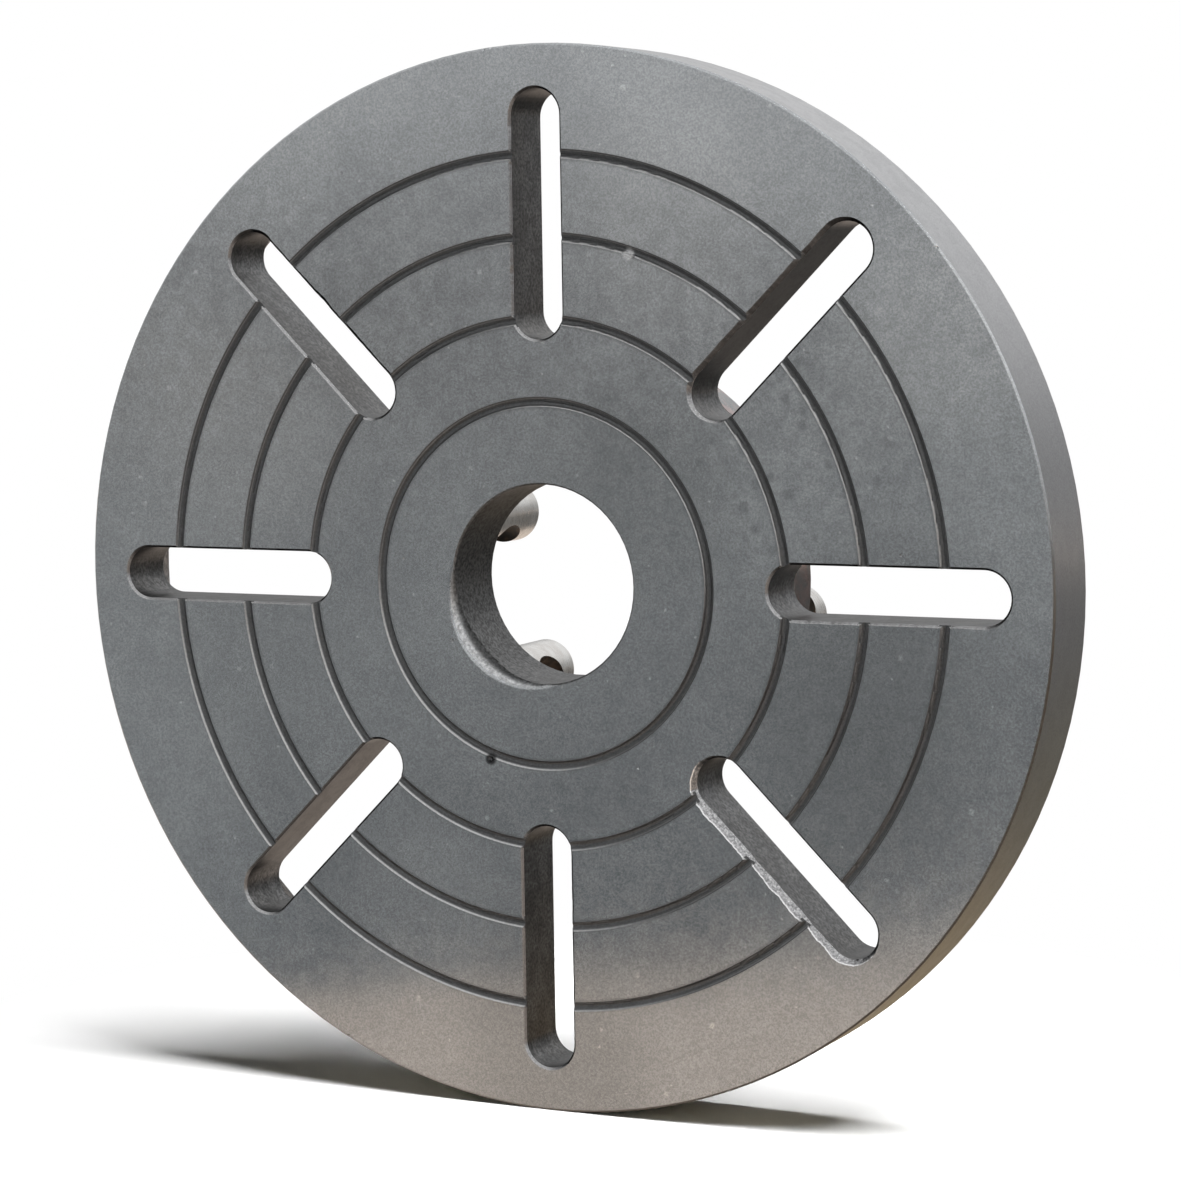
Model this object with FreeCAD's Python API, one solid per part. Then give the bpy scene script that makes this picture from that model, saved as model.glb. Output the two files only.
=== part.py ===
import FreeCAD
import Part

import math
import os

# A lathe faceplate: a cast iron disc that is locked on a spindle nose by cam studs.
# Work is bolted on its front face through the radial slots.
# Frame, in millimetres: the spindle axis is Y, the work face looks along -Y and Z is up.
# The origin is where the axis meets the hub's rear face, which seats on the spindle nose.

# Plate
PLATE_DIAMETER = 320.0
WEB_THICKNESS = 20.0
RIM_LIP_HEIGHT = 8.0
RIM_LIP_WIDTH = 10.0
HUB_HEIGHT = 22.0
HUB_DIAMETER = 140.0
HUB_ROOT_RADIUS = 5.0
LIP_ROOT_RADIUS = 4.0
LIP_DRAFT_DEG = 5.0
EDGE_CHAMFER = 0.6
HUB_CHAMFER = 1.5

# Bore and taper register
BORE_DIAMETER = 60.0
BORE_CHAMFER_FRONT = 0.5
BORE_CHAMFER_REAR = 2.0
REGISTER_DIAMETER = 82.563
REGISTER_HALF_ANGLE_DEG = 7.125
REGISTER_DEPTH = 15.0
REGISTER_RELIEF = 1.0
REGISTER_CHAMFER = 0.6

# Rings turned in the work face, for setting work central
RING_COUNT = 4
RING_FIRST_DIAMETER = 108.8
RING_PITCH = 24.4
RING_WIDTH = 2.0
RING_DEPTH = 1.0

# Radial slots for clamping bolts
SLOT_COUNT = 8
SLOT_WIDTH = 16.0
SLOT_TO_HUB = 3.0
SLOT_TO_EDGE = 13.0
SLOT_CHAMFER = 0.7

# Stiffening ribs cast on the back, between the slots
RIB_WIDTH = 9.0
RIB_BELOW_LIP = 2.0
RIB_ROOT_RADIUS = 3.0
RIB_TOP_RADIUS = 2.0

# Cam studs
STUD_COUNT = 6
STUD_CIRCLE = 104.78
STUD_TURN_DEG = 43.0
STUD_DIAMETER = 19.05
STUD_FOOT_DIAMETER = 18.6
STUD_REACH = 38.0
STUD_SINK = 7.0
STUD_TIP_CHAMFER = 1.5
STUD_PLAY = 0.12
STUD_THREAD_DIAMETER = 12.0
STUD_THREAD_LENGTH = 16.0
STUD_THREAD_CHAMFER = 1.0
STUD_LINE_HEIGHT = 0.8
STUD_LINE_WIDTH = 0.4
STUD_LINE_DEPTH = 0.3
NOTCH_HEIGHT = 20.0
NOTCH_RADIUS = 9.5
NOTCH_WEB = 10.0

# Screws that keep the studs from turning
SCREW_DIAMETER = 6.0
SCREW_LENGTH = 12.0
SCREW_TIP_CHAMFER = 0.7
HEAD_DIAMETER = 10.0
HEAD_HEIGHT = 6.0
HEAD_CHAMFER = 0.5
HEAD_PLAY = 0.15
HEX_ACROSS_FLATS = 5.0
HEX_DEPTH = 3.0
LOCK_BITE = 2.0

# Holes
THREAD_PLAY = 0.05
HOLE_SPARE_DEPTH = 3.0
DRILL_POINT_DEG = 118.0
MOUTH_CHAMFER = 0.4

# Worked out from the sizes above
PLATE_RADIUS = PLATE_DIAMETER / 2
HUB_RADIUS = HUB_DIAMETER / 2
BORE_RADIUS = BORE_DIAMETER / 2
REGISTER_RADIUS = REGISTER_DIAMETER / 2
STUD_RADIUS = STUD_DIAMETER / 2
STUD_CIRCLE_RADIUS = STUD_CIRCLE / 2
HEAD_RADIUS = HEAD_DIAMETER / 2
LIP_DRAFT = math.tan(math.radians(LIP_DRAFT_DEG))
REGISTER_SLOPE = math.tan(math.radians(REGISTER_HALF_ANGLE_DEG))
SEAT_Y = 0.0
WEB_BACK_Y = SEAT_Y - HUB_HEIGHT
FACE_Y = WEB_BACK_Y - WEB_THICKNESS
LIP_Y = WEB_BACK_Y + RIM_LIP_HEIGHT
RIB_Y = LIP_Y - RIB_BELOW_LIP
LIP_INNER_RADIUS = PLATE_RADIUS - RIM_LIP_WIDTH
SLOT_INNER_RADIUS = HUB_RADIUS + SLOT_TO_HUB
SLOT_OUTER_RADIUS = PLATE_RADIUS - SLOT_TO_EDGE
LOCK_SPACING = STUD_RADIUS + HEAD_RADIUS - LOCK_BITE
LOCK_GROOVE_RADIUS = HEAD_RADIUS + HEAD_PLAY

AXIS = FreeCAD.Vector(0, 1, 0)
OVERRUN = 5.0


def rounded_wire(corners):
    """A closed wire in the XY plane through (x, y, radius) corners, each rounded by a tangent arc."""
    count = len(corners)
    points = [FreeCAD.Vector(x, y, 0) for x, y, radius in corners]
    ends = []
    for i, (x, y, radius) in enumerate(corners):
        here = points[i]
        back = (points[i - 1] - here).normalize()
        ahead = (points[(i + 1) % count] - here).normalize()
        half = back.getAngle(ahead) / 2
        cut = radius / math.tan(half)
        middle = here + (back + ahead).normalize() * (radius / math.sin(half) - radius) if radius else here
        ends.append((here + back * cut, middle, here + ahead * cut))
    edges = []
    for i in range(count):
        start, middle, stop = ends[i]
        if corners[i][2]:
            edges.append(Part.Arc(start, middle, stop).toShape())
        edges.append(Part.LineSegment(stop, ends[(i + 1) % count][0]).toShape())
    return Part.Wire(edges)


def turned(corners):
    """A solid turned about the spindle axis from its half section, given as (radius, y, corner radius)."""
    return Part.Face(rounded_wire(corners)).revolve(FreeCAD.Vector(0, 0, 0), AXIS, 360)


def rod(radius, y_from, y_to, x=0.0, z=0.0):
    """A cylinder along the spindle axis."""
    return Part.makeCylinder(radius, y_to - y_from, FreeCAD.Vector(x, y_from, z), AXIS)


def cone(radius_from, radius_to, y_from, y_to, x=0.0, z=0.0):
    """A cone along the spindle axis, from its radius at one end to its radius at the other."""
    return Part.makeCone(radius_from, radius_to, y_to - y_from, FreeCAD.Vector(x, y_from, z), AXIS)


def turn_about_axis(shape, degrees):
    """A copy turned about the spindle axis, anticlockwise as seen from the work face."""
    copy = shape.copy()
    copy.rotate(FreeCAD.Vector(0, 0, 0), AXIS, -degrees)
    return copy


def around(shape, count, first_deg=0.0):
    """Evenly spaced copies about the spindle axis."""
    return [turn_about_axis(shape, first_deg + 360.0 * i / count) for i in range(count)]


def plate_blank():
    """The turned casting: web, rim lip, hub with its root radius, bore and taper register."""
    lip_root = LIP_INNER_RADIUS - RIM_LIP_HEIGHT * LIP_DRAFT
    register_floor = SEAT_Y - REGISTER_DEPTH
    register_end = REGISTER_RADIUS - REGISTER_DEPTH * REGISTER_SLOPE
    mouth = REGISTER_CHAMFER * (1 + REGISTER_SLOPE)
    return turned([
        (BORE_RADIUS, FACE_Y + BORE_CHAMFER_FRONT, 0),
        (BORE_RADIUS + BORE_CHAMFER_FRONT, FACE_Y, 0),
        (PLATE_RADIUS - EDGE_CHAMFER, FACE_Y, 0),
        (PLATE_RADIUS, FACE_Y + EDGE_CHAMFER, 0),
        (PLATE_RADIUS, LIP_Y - EDGE_CHAMFER, 0),
        (PLATE_RADIUS - EDGE_CHAMFER, LIP_Y, 0),
        (LIP_INNER_RADIUS, LIP_Y, 0),
        (lip_root, WEB_BACK_Y, LIP_ROOT_RADIUS),
        (HUB_RADIUS, WEB_BACK_Y, HUB_ROOT_RADIUS),
        (HUB_RADIUS, SEAT_Y - HUB_CHAMFER, 0),
        (HUB_RADIUS - HUB_CHAMFER, SEAT_Y, 0),
        (REGISTER_RADIUS + mouth, SEAT_Y, 0),
        (REGISTER_RADIUS - REGISTER_CHAMFER * REGISTER_SLOPE, SEAT_Y - REGISTER_CHAMFER, 0),
        (register_end + 2 * REGISTER_RELIEF * REGISTER_SLOPE, register_floor + 2 * REGISTER_RELIEF, 0),
        (register_end + REGISTER_RELIEF, register_floor + REGISTER_RELIEF, 0),
        (register_end + REGISTER_RELIEF, register_floor, 0),
        (BORE_RADIUS + BORE_CHAMFER_REAR, register_floor, 0),
        (BORE_RADIUS, register_floor - BORE_CHAMFER_REAR, 0),
    ])


def rib():
    """One radial rib on the web's back, with a flared root and a rounded top, lying along +X."""
    foot = RIB_WIDTH / 2 + RIB_ROOT_RADIUS
    side = RIB_WIDTH / 2
    start = (BORE_RADIUS + HUB_RADIUS) / 2
    corners = [
        (-foot - OVERRUN, WEB_BACK_Y - OVERRUN, 0),
        (foot + OVERRUN, WEB_BACK_Y - OVERRUN, 0),
        (foot + OVERRUN, WEB_BACK_Y, 0),
        (side, WEB_BACK_Y, RIB_ROOT_RADIUS),
        (side, RIB_Y, RIB_TOP_RADIUS),
        (-side, RIB_Y, RIB_TOP_RADIUS),
        (-side, WEB_BACK_Y, RIB_ROOT_RADIUS),
        (-foot - OVERRUN, WEB_BACK_Y, 0),
    ]
    section = Part.Face(rounded_wire(corners))
    section.rotate(FreeCAD.Vector(0, 0, 0), AXIS, 90)
    section.translate(FreeCAD.Vector(start, 0, 0))
    reach = LIP_INNER_RADIUS + RIM_LIP_WIDTH / 2 - start
    return section.extrude(FreeCAD.Vector(reach, 0, 0))


def setting_ring(radius):
    """A fine round-bottomed groove turned in the work face."""
    half = RING_WIDTH / 2
    return turned([
        (radius - half, FACE_Y - OVERRUN, 0),
        (radius + half, FACE_Y - OVERRUN, 0),
        (radius + half, FACE_Y + RING_DEPTH, half * 0.9),
        (radius - half, FACE_Y + RING_DEPTH, half * 0.9),
    ])


def slot_prism(width, inner, outer, y_from, y_to):
    """A round-ended bar across the plate's thickness, lying along +X."""
    half = width / 2
    bar = Part.makeBox(outer - inner - width, y_to - y_from, width, FreeCAD.Vector(inner + half, y_from, -half))
    return bar.fuse([rod(half, y_from, y_to, inner + half), rod(half, y_from, y_to, outer - half)]).removeSplitter()


def radial_slot():
    """What is milled away for one slot, with the chamfer round its mouth."""
    through = slot_prism(SLOT_WIDTH, SLOT_INNER_RADIUS, SLOT_OUTER_RADIUS, FACE_Y - OVERRUN, SEAT_Y + OVERRUN)
    mouth = slot_prism(
        SLOT_WIDTH + 2 * SLOT_CHAMFER,
        SLOT_INNER_RADIUS - SLOT_CHAMFER,
        SLOT_OUTER_RADIUS + SLOT_CHAMFER,
        FACE_Y - OVERRUN,
        FACE_Y + SLOT_CHAMFER,
    )
    deep_edges = [e for e in mouth.Edges if e.BoundBox.YMin > FACE_Y]
    return through.fuse(mouth.makeChamfer(SLOT_CHAMFER, deep_edges))


def screw_place():
    """X and Z of the locking screw beside the stud that stands on +X, on the stud circle."""
    angle = 2 * math.asin(LOCK_SPACING / 2 / STUD_CIRCLE_RADIUS)
    return STUD_CIRCLE_RADIUS * math.cos(angle), -STUD_CIRCLE_RADIUS * math.sin(angle)


def blind_hole(radius, seat_y, depth, x, z):
    """A drilled hole that starts at a seat and ends in a drill point."""
    point = radius / math.tan(math.radians(DRILL_POINT_DEG / 2))
    return rod(radius, seat_y - depth, seat_y, x, z).fuse(cone(0, radius, seat_y - depth - point, seat_y - depth, x, z))


def stud_pocket():
    """The counterbored holes for the stud on +X and for its locking screw, which open into each other."""
    x, z = screw_place()
    seat = SEAT_Y - STUD_SINK
    stud_r = STUD_RADIUS + STUD_PLAY
    head_r = LOCK_GROOVE_RADIUS
    parts = [
        rod(stud_r, seat, SEAT_Y + OVERRUN, STUD_CIRCLE_RADIUS),
        cone(stud_r, stud_r + MOUTH_CHAMFER, SEAT_Y - MOUTH_CHAMFER, SEAT_Y, STUD_CIRCLE_RADIUS),
        rod(head_r, seat, SEAT_Y + OVERRUN, x, z),
        cone(head_r, head_r + MOUTH_CHAMFER, SEAT_Y - MOUTH_CHAMFER, SEAT_Y, x, z),
        blind_hole(STUD_THREAD_DIAMETER / 2 + THREAD_PLAY, seat, STUD_THREAD_LENGTH + HOLE_SPARE_DEPTH,
                   STUD_CIRCLE_RADIUS, 0),
        blind_hole(SCREW_DIAMETER / 2 + THREAD_PLAY, seat, SCREW_LENGTH + HOLE_SPARE_DEPTH, x, z),
    ]
    return parts[0].fuse(parts[1:])


def faceplate_body():
    """The cast iron plate in one piece."""
    body = plate_blank().fuse(around(rib(), SLOT_COUNT, 180.0 / SLOT_COUNT))
    rings = [setting_ring(RING_FIRST_DIAMETER / 2 + i * RING_PITCH) for i in range(RING_COUNT)]
    cuts = rings + around(radial_slot(), SLOT_COUNT)
    cuts += around(stud_pocket(), STUD_COUNT, STUD_TURN_DEG)
    return body.cut(cuts).removeSplitter()


def cam_stud():
    """The stud on +X: threaded shank, relieved foot, setting line, cam notch and the groove for its screw's head."""
    x, z = screw_place()
    seat = SEAT_Y - STUD_SINK
    line = SEAT_Y + STUD_LINE_HEIGHT
    shank_r = STUD_THREAD_DIAMETER / 2
    shank_end = seat - STUD_THREAD_LENGTH
    blank = turned([
        (0, shank_end, 0),
        (shank_r - STUD_THREAD_CHAMFER, shank_end, 0),
        (shank_r, shank_end + STUD_THREAD_CHAMFER, 0),
        (shank_r, seat, 0),
        (STUD_FOOT_DIAMETER / 2, seat, 0),
        (STUD_FOOT_DIAMETER / 2, SEAT_Y, 0),
        (STUD_RADIUS, SEAT_Y, 0),
        (STUD_RADIUS, line, 0),
        (STUD_RADIUS - STUD_LINE_DEPTH, line + STUD_LINE_WIDTH / 2, 0),
        (STUD_RADIUS, line + STUD_LINE_WIDTH, 0),
        (STUD_RADIUS, STUD_REACH - STUD_TIP_CHAMFER, 0),
        (STUD_RADIUS - STUD_TIP_CHAMFER, STUD_REACH, 0),
        (0, STUD_REACH, 0),
    ])
    blank.translate(FreeCAD.Vector(STUD_CIRCLE_RADIUS, 0, 0))
    notch_z = NOTCH_RADIUS + NOTCH_WEB - STUD_RADIUS
    notch_from = FreeCAD.Vector(STUD_CIRCLE_RADIUS - STUD_DIAMETER, SEAT_Y + NOTCH_HEIGHT, notch_z)
    notch = Part.makeCylinder(NOTCH_RADIUS, 2 * STUD_DIAMETER, notch_from, FreeCAD.Vector(1, 0, 0))
    groove = rod(LOCK_GROOVE_RADIUS, seat - OVERRUN, STUD_REACH + OVERRUN, x, z)
    return blank.cut([notch, groove])


def hexagon(across_flats, y_from, y_to, x, z):
    """A hexagonal bar along the spindle axis."""
    corner = across_flats / 2 / math.cos(math.radians(30))
    points = []
    for i in range(7):
        angle = math.radians(60 * i)
        points.append(FreeCAD.Vector(x + corner * math.cos(angle), y_from, z + corner * math.sin(angle)))
    return Part.Face(Part.makePolygon(points)).extrude(FreeCAD.Vector(0, y_to - y_from, 0))


def lock_screw():
    """The socket-head cap screw beside the stud on +X."""
    x, z = screw_place()
    seat = SEAT_Y - STUD_SINK
    top = seat + HEAD_HEIGHT
    end = seat - SCREW_LENGTH
    blank = turned([
        (0, end, 0),
        (SCREW_DIAMETER / 2 - SCREW_TIP_CHAMFER, end, 0),
        (SCREW_DIAMETER / 2, end + SCREW_TIP_CHAMFER, 0),
        (SCREW_DIAMETER / 2, seat, 0),
        (HEAD_RADIUS, seat, 0),
        (HEAD_RADIUS, top - HEAD_CHAMFER, 0),
        (HEAD_RADIUS - HEAD_CHAMFER, top, 0),
        (0, top, 0),
    ])
    blank.translate(FreeCAD.Vector(x, 0, z))
    return blank.cut(hexagon(HEX_ACROSS_FLATS, top - HEX_DEPTH, top + OVERRUN, x, z))


def build():
    """Every node of the object, by name."""
    nodes = {"faceplate_body": faceplate_body()}
    for i, stud in enumerate(around(cam_stud(), STUD_COUNT, STUD_TURN_DEG)):
        nodes[f"cam_stud_{i + 1}"] = stud
    for i, screw in enumerate(around(lock_screw(), STUD_COUNT, STUD_TURN_DEG)):
        nodes[f"stud_lock_screw_{i + 1}"] = screw
    return nodes


os.makedirs("parts", exist_ok=True)
for name, shape in build().items():
    shape.exportStep(f"parts/{name}.step")
    box = shape.optimalBoundingBox(False, False)
    print(f"{name}: {len(shape.Solids)} solid, {shape.Volume / 1000:.1f} cm3, valid {shape.isValid()}, "
          f"{box.XLength:.1f} x {box.YLength:.1f} x {box.ZLength:.1f} mm")
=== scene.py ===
# %% [markdown]
# A lathe faceplate is a flat iron disc that turns with the spindle. Work that no chuck can grip is
# bolted on its face through the slots. This lesson takes the plate's solids as they are packed and
# gives them the looks of a plate that has been used: ground iron, edges cleaned up with a file, a
# rough cast back and bright cam studs. The lengths are in metres, the spindle axis is Y and the work
# face looks along -Y.

import math

import bmesh
import bpy
from mathutils import Euler, Matrix, Vector


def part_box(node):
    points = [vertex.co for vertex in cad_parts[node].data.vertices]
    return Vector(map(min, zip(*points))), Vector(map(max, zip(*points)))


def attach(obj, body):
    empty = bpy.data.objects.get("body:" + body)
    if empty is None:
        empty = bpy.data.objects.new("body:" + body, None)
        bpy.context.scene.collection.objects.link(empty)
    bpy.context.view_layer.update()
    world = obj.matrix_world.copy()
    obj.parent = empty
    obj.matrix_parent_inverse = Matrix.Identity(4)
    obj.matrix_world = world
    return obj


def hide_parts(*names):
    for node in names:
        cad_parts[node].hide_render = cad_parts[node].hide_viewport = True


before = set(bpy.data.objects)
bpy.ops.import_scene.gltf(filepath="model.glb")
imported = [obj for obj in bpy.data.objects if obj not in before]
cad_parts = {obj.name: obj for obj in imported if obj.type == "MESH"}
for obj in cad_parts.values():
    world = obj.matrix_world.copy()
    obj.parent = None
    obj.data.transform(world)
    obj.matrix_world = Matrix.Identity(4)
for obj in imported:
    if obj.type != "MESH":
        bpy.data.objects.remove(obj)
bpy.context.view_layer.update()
MM = 0.001
body_low, body_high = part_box("faceplate_body")
PLATE_RADIUS = (body_high.x - body_low.x) / 2
FACE_Y = body_low.y
SEAT_Y = body_high.y
print("nodes", len(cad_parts), "plate radius", round(PLATE_RADIUS, 4))
print("thickness", round(SEAT_Y - FACE_Y, 4))

# %% [markdown]
# The camera comes first, because every later choice is judged through it. The picture was taken
# from the right of the spindle axis and a little above it, through a long lens, which keeps the
# far side of the disc nearly as large as the near side. The plate had rolled by one degree, so the
# camera is turned by that much about the spindle axis, and the slots stay level and upright.

# %% Place the camera
CAMERA_PLACE = Vector((0.4597, -0.9502, 0.1065))
CAMERA_TO_SIDE = math.radians(26.03)
CAMERA_DOWN = math.radians(6.07)
PLATE_ROLL = math.radians(1.0)
SENSOR_MM = 36.0
PHOTO_SIDE_PX = 1181
PHOTO_FOCAL_PX = 3428.5

bpy.ops.object.camera_add()
camera = bpy.context.object
camera.name = "camera"
camera.data.sensor_width = SENSOR_MM
camera.data.lens = SENSOR_MM * PHOTO_FOCAL_PX / PHOTO_SIDE_PX
aim = Euler((math.radians(90) - CAMERA_DOWN, 0, CAMERA_TO_SIDE)).to_matrix().to_4x4()
camera.matrix_world = Matrix.Rotation(PLATE_ROLL, 4, "Y") @ Matrix.Translation(CAMERA_PLACE) @ aim
bpy.context.scene.camera = camera
print("lens in mm", round(camera.data.lens, 1))

# %% [markdown]
# Every material and light below is a tree of nodes. A few small helpers keep those trees short to
# read: the first two add a node and fill its sockets, and the others name what is done again and
# again, such as a sum, a soft step between two values, a mix of two colours or a distance.


# %% Helpers for node trees
def fill(tree, node, inputs):
    """Fills a node's inputs with values or links."""
    for name, value in inputs.items():
        if isinstance(value, bpy.types.NodeSocket):
            tree.links.new(value, node.inputs[name])
        else:
            node.inputs[name].default_value = value


def put(tree, kind, inputs=None, **settings):
    """Adds a node, gives it settings, and fills its inputs."""
    made = tree.nodes.new(kind)
    for name, value in settings.items():
        setattr(made, name, value)
    fill(tree, made, inputs or {})
    return made


def calc(tree, operation, first, second=0.0):
    """The result of one sum."""
    return put(tree, "ShaderNodeMath", {0: first, 1: second}, operation=operation).outputs[0]


def both(tree, *masks):
    """Masks multiplied together, which is 1 only where all of them are."""
    result = masks[0]
    for other in masks[1:]:
        result = calc(tree, "MULTIPLY", result, other)
    return result


def outside(tree, mask):
    """A mask the other way round, which is 1 where the mask is 0."""
    return calc(tree, "SUBTRACT", 1.0, mask)


def plus(tree, base, mask, share):
    """The base with a share of a mask added to it."""
    return calc(tree, "ADD", base, calc(tree, "MULTIPLY", mask, share))


def ramp(tree, value, low, high, to_low=0.0, to_high=1.0):
    """The value's way from low to high, as a soft step from to_low to to_high."""
    sockets = {"Value": value, "From Min": low, "From Max": high, "To Min": to_low, "To Max": to_high}
    return put(tree, "ShaderNodeMapRange", sockets, interpolation_type="SMOOTHSTEP").outputs["Result"]


def blend(tree, factor, first, second):
    """The first value, mixed with the second by the factor."""
    return put(tree, "ShaderNodeMix", {0: factor, 2: first, 3: second}).outputs[0]


def tint(tree, factor, first, second):
    """The first colour, mixed with the second by the factor."""
    return put(tree, "ShaderNodeMix", {0: factor, 6: first, 7: second}, data_type="RGBA").outputs[2]


def scaled(tree, vector, amount):
    """A vector or a colour with all its parts multiplied by an amount."""
    return put(tree, "ShaderNodeVectorMath", {0: vector, "Scale": amount}, operation="SCALE").outputs[0]


def parts(tree, vector):
    """The parts X, Y and Z of a vector."""
    return put(tree, "ShaderNodeSeparateXYZ", {0: vector}).outputs


def distance(tree, first, second):
    """How far one place is from another."""
    return put(tree, "ShaderNodeVectorMath", {0: first, 1: second}, operation="DISTANCE").outputs["Value"]


def noise(tree, vector, scale, detail, roughness=0.5, distortion=0.0):
    """A cloudy pattern over a vector: its outputs."""
    return put(tree, "ShaderNodeTexNoise", {
        "Vector": vector, "Scale": scale, "Detail": detail, "Roughness": roughness,
        "Distortion": distortion}).outputs


def unscattered(tree, rays):
    """1 for a ray that no matt surface has scattered on its way."""
    return calc(tree, "LESS_THAN", rays["Diffuse Depth"], 0.5)


def new_group(name, inputs, outputs):
    """An empty shader node group. Each input is given as its name, kind and starting value."""
    tree = bpy.data.node_groups.new(name, "ShaderNodeTree")
    for socket_name, kind, value in inputs:
        socket = tree.interface.new_socket(socket_name, in_out="INPUT", socket_type=kind)
        if value is not None:
            socket.default_value = value
    for socket_name in outputs:
        tree.interface.new_socket(socket_name, in_out="OUTPUT", socket_type="NodeSocketFloat")
    return tree, tree.nodes.new("NodeGroupInput").outputs, tree.nodes.new("NodeGroupOutput").inputs


def use_group(tree, group, *values):
    """Places a node group in a tree, fills its inputs in their order, and returns its outputs."""
    made = tree.nodes.new("ShaderNodeGroup")
    made.node_tree = group
    fill(tree, made, dict(enumerate(values)))
    return made.outputs


def new_look(name):
    """An empty material and its tree of nodes."""
    look = bpy.data.materials.new(name)
    look.use_nodes = True
    look.node_tree.nodes.clear()
    return look, look.node_tree


def show(tree, shader):
    """Makes a shader the surface of a material."""
    put(tree, "ShaderNodeOutputMaterial", {"Surface": shader})


# %% [markdown]
# The plate stands on its rim on a white table. Satin metal shows little colour of its own: it shows
# its surroundings, blurred. The upright face mirrors the table's warm top near its foot, the dim
# room in front of the table above that, and the bright wall beyond it near its top. So the stage
# has the same things. The dim room is a card that only reflections see. Another such card lies
# behind the plate, where its shadow falls, and darkens the rim on that side.

# %% Floor
FLOOR_Z = -PLATE_RADIUS
FLOOR_SIZE = 12.0
FLOOR_WHITE = (0.95, 0.95, 0.95, 1)
FLOOR_WARM = (0.94, 0.80, 0.69, 1)
FLOOR_FADE = (0.13, 0.25)

bpy.ops.object.select_all(action="DESELECT")
bpy.ops.mesh.primitive_plane_add(size=FLOOR_SIZE, location=(0, 0, FLOOR_Z))
floor = bpy.context.object
floor.name = "floor"
floor_look, tree = new_look("white table")
rays = put(tree, "ShaderNodeLightPath").outputs
place = put(tree, "ShaderNodeNewGeometry").outputs["Position"]
fade = ramp(tree, distance(tree, place, (0, 0, FLOOR_Z)), *FLOOR_FADE)
lit = put(tree, "ShaderNodeBsdfDiffuse", {"Color": FLOOR_WHITE}).outputs[0]
plain = put(tree, "ShaderNodeEmission", {"Color": (1, 1, 1, 1)}).outputs[0]
mirrored = put(tree, "ShaderNodeEmission", {"Color": FLOOR_WARM}).outputs[0]
faded = put(tree, "ShaderNodeMixShader", {0: fade, 1: lit, 2: plain}).outputs[0]
seen = put(tree, "ShaderNodeMixShader", {0: rays["Is Camera Ray"], 1: lit, 2: faded}).outputs[0]
shiny = calc(tree, "MAXIMUM", rays["Is Glossy Ray"], rays["Is Transmission Ray"])
shiny = both(tree, shiny, unscattered(tree, rays))
show(tree, put(tree, "ShaderNodeMixShader", {0: shiny, 1: seen, 2: mirrored}).outputs[0])
floor.data.materials.append(floor_look)

# %% Cards that only reflections see
CARD_ABOVE_FLOOR = 1.0 * MM
ROOM_EDGE = Vector((-0.10, -0.202))
ROOM_TURN = math.radians(-42)
ROOM_SIZE = (8.0, 5.5)
ROOM_LEFT = (0.465, 0.475, 0.477, 1)
ROOM_RIGHT = (0.340, 0.349, 0.353, 1)
ROOM_SIDES_X = (-0.62, -0.14)
BACK_EDGE = Vector((0.0, -0.012))
BACK_SIZE = (3.2, 3.2)
BACK_NEAR = (0.44, 0.35, 0.25, 1)
BACK_FAR = (0.205, 0.200, 0.192, 1)
BACK_REACH = (0.02, 0.25)


def lay_card(name, near_edge, way, size, look):
    """Lays a card that only reflections see just above the floor, from its near edge out along a way."""
    centre = near_edge + way * (size[1] / 2)
    bpy.ops.object.select_all(action="DESELECT")
    bpy.ops.mesh.primitive_plane_add(size=1, location=(centre.x, centre.y, FLOOR_Z + CARD_ABOVE_FLOOR))
    card = bpy.context.object
    card.name = name
    card.scale = (size[0], size[1], 1)
    card.rotation_euler.z = math.atan2(way.y, way.x) - math.radians(90)
    card.data.materials.append(look)
    card.visible_camera = False
    card.visible_diffuse = False
    card.visible_shadow = False


def card_look(name, axis, reach, first, second):
    """A glowing card whose colour changes along one axis."""
    look, tree = new_look(name)
    along = parts(tree, put(tree, "ShaderNodeNewGeometry").outputs["Position"])[axis]
    colour = tint(tree, ramp(tree, along, *reach), first, second)
    show(tree, put(tree, "ShaderNodeEmission", {"Color": colour}).outputs[0])
    return look


lay_card("dim_room", ROOM_EDGE, Vector((math.sin(ROOM_TURN), -math.cos(ROOM_TURN))), ROOM_SIZE,
         card_look("dim room", "X", ROOM_SIDES_X, ROOM_LEFT, ROOM_RIGHT))
lay_card("dim_back", BACK_EDGE + Vector((BACK_SIZE[0] / 2, 0)), Vector((0, 1)), BACK_SIZE,
         card_look("dim back", "Y", BACK_REACH, BACK_NEAR, BACK_FAR))

# %% Sky that lights the plate from all round
SKY_LIGHT = 0.04
SKY_AT_HORIZON = 0.36
SKY_ABOVE = 1.03
SKY_RISE = (-0.01, 0.075)
SKY_RISE_BEHIND = (0.05, 0.40)
SKY_TURN = (-0.1, 0.3)
SKY_SIDES = (-0.55, -0.33)
SKY_SHARE = (0.90, 1.12)

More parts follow.
